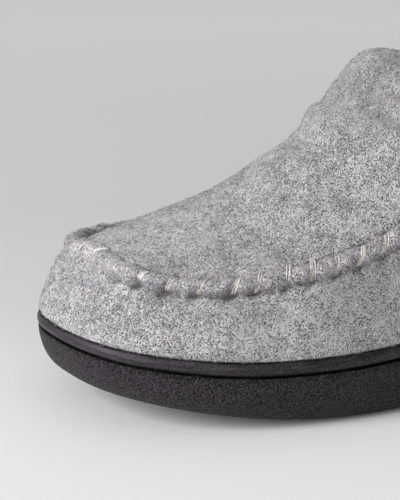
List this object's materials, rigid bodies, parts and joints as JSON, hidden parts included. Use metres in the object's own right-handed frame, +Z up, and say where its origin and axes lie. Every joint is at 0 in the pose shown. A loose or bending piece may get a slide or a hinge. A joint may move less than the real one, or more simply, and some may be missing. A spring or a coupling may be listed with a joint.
{
  "type": "indoor-outdoor slipper",
  "caption": "Closed-back felt moccasin slipper for the left foot, with a raised seam round its apron, an insole and a moulded rubber sole with a lip and a groove.",
  "frame": {"origin": "on the floor, under the middle of the slipper's box", "axes": "+X from the toe to the heel, +Y towards the inner side of the left foot, +Z up"},
  "size_m": [0.292, 0.1066, 0.1058],
  "materials": {
    "rubber": "satin moulded rubber, leather grain on the side",
    "lining": "short brushed pile",
    "felt": "heathered wool felt with a soft nap",
    "thread": "thick beige sewing thread"
  },
  "bodies": {
    "root": {"outsole": "rubber", "insole": "lining", "upper": "felt"}
  },
  "joints": []
}
